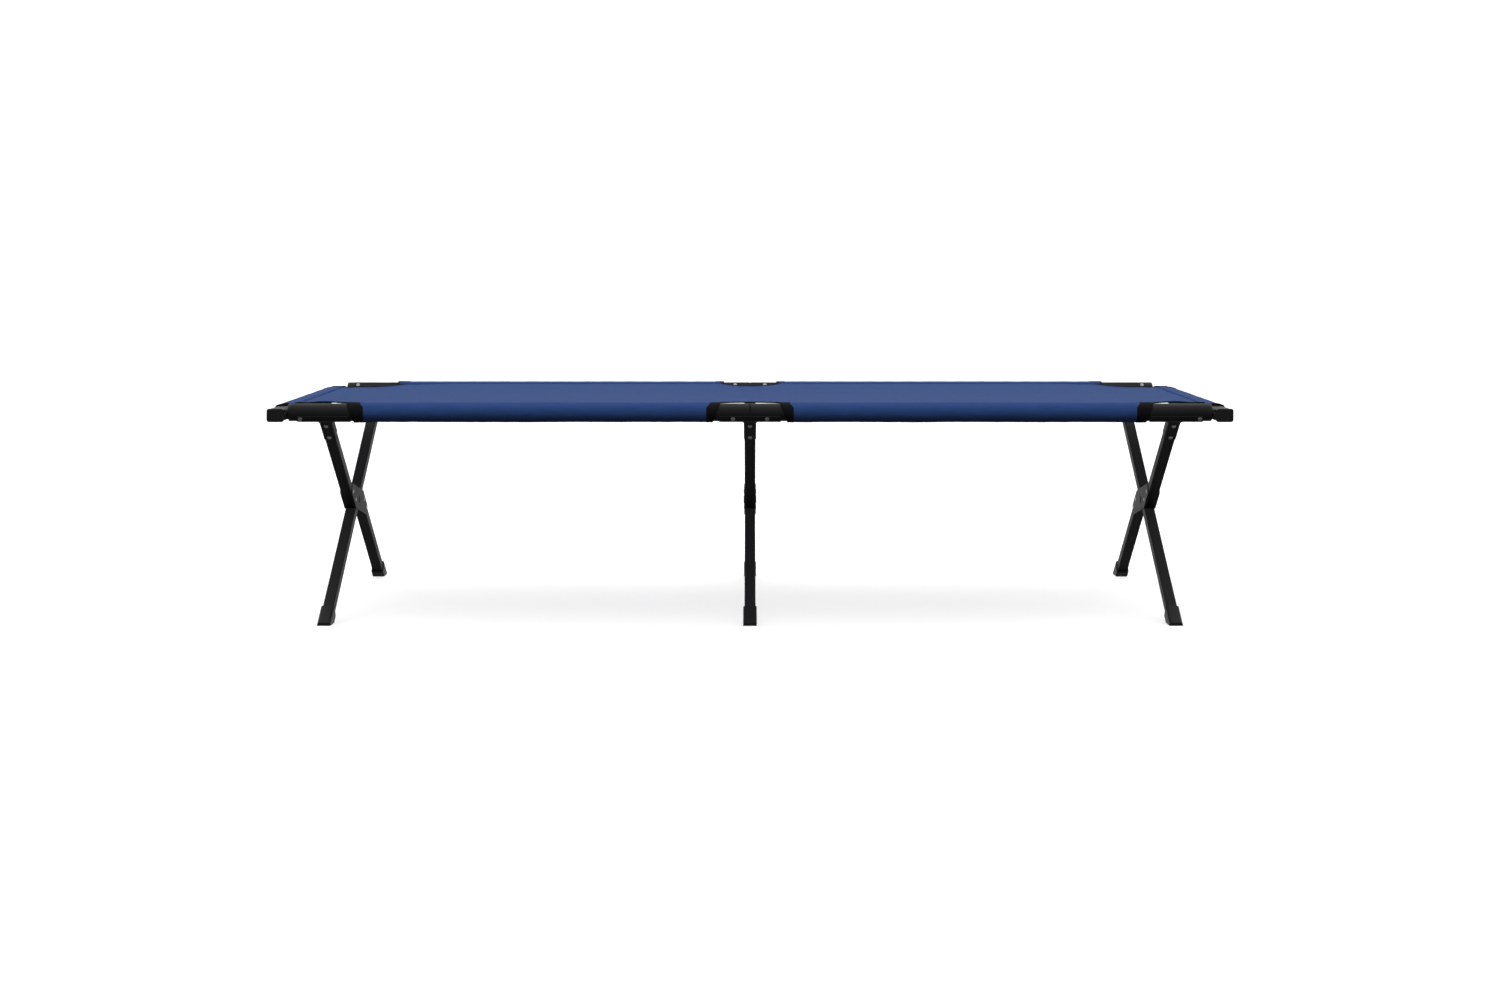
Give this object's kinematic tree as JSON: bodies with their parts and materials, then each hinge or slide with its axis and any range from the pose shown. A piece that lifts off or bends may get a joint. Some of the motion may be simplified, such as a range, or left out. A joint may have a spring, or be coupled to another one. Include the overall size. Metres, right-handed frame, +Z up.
{
  "type": "folding cot",
  "caption": "Folding camp cot with a taut cloth deck on tubular side rails, crossed square legs joined by fork plates, capped feet and pull-out end bars.",
  "frame": {"origin": "on the floor under the middle of the cot", "axes": "X along the length, -Y the near long side, +Z up"},
  "size_m": [2.07, 0.8, 0.479],
  "materials": {
    "frame": "semi-gloss black powder coat",
    "plastic": "satin black moulding",
    "steel": "zinc-plated steel",
    "cloth": "woven navy blue polyester"
  },
  "bodies": {
    "pivots": {"pivot_rivet_left": "frame", "pivot_rivet_middle": "frame", "pivot_rivet_right": "frame"},
    "near_frame": {"rail_near_left": "frame", "rail_plug_near_left": "plastic", "sleeve_near_left": "cloth", "rail_near_right": "frame", "rail_plug_near_right": "plastic", "sleeve_near_right": "cloth", "rail_pins_near": "steel", "leg_rivets_near": "steel", "bracket_near_left": "frame", "bracket_near_middle": "frame", "bracket_near_right": "frame", "near_leg_upper_left": "frame", "near_leg_lower_left": "frame", "fork_plates_left": "frame", "fork_rivets_left": "steel", "foot_far_left": "plastic", "near_leg_upper_middle": "frame", "near_leg_lower_middle": "frame", "fork_plates_middle": "frame", "fork_rivets_middle": "steel", "foot_far_middle": "plastic", "near_leg_upper_right": "frame", "near_leg_lower_right": "frame", "fork_plates_right": "frame", "fork_rivets_right": "steel", "foot_far_right": "plastic"},
    "far_frame": {"rail_far_left": "frame", "rail_plug_far_left": "plastic", "sleeve_far_left": "cloth", "rail_far_right": "frame", "rail_plug_far_right": "plastic", "sleeve_far_right": "cloth", "rail_pins_far": "steel", "leg_rivets_far": "steel", "bracket_far_left": "frame", "bracket_far_middle": "frame", "bracket_far_right": "frame", "far_leg_left": "frame", "foot_near_left": "plastic", "far_leg_middle": "frame", "foot_near_middle": "plastic", "far_leg_right": "frame", "foot_near_right": "plastic", "pivot_bushes": "plastic"},
    "deck": {"deck_panel": "cloth"},
    "left_end_bar": {"end_bar_left": "frame", "end_cap_left_near": "plastic", "end_cap_left_far": "plastic", "hem_left": "cloth"},
    "right_end_bar": {"end_bar_right": "frame", "end_cap_right_near": "plastic", "end_cap_right_far": "plastic", "hem_right": "cloth"}
  },
  "joints": [
    {"name": "fold", "type": "hinge", "parent": "pivots", "child": "near_frame", "pos_m": [0, 0, 0.22875], "axis": [-1, 0, 0], "range_deg": [0, 53], "deforming": ["deck_panel", "hem_left", "hem_right"]},
    {"name": "far_fold", "type": "hinge", "parent": "pivots", "child": "far_frame", "pos_m": [0, 0, 0.22875], "axis": [1, 0, 0], "range_deg": [0, 53]},
    {"name": "deck_rise", "type": "slide", "parent": "pivots", "child": "deck", "axis": [0, 0, 1], "range_m": [0, 0.18]},
    {"name": "left_bar_pull", "type": "slide", "parent": "deck", "child": "left_end_bar", "axis": [-1, 0, 0], "range_m": [0, 0.02], "stiffness_N_per_m": 3000},
    {"name": "right_bar_pull", "type": "slide", "parent": "deck", "child": "right_end_bar", "axis": [1, 0, 0], "range_m": [0, 0.02], "stiffness_N_per_m": 3000}
  ],
  "couplings": [
    {"joint": "far_fold", "follows": "fold", "ratio": 1},
    {"joint": "deck_rise", "follows": "fold", "m_per_rad": 0.19458}
  ]
}
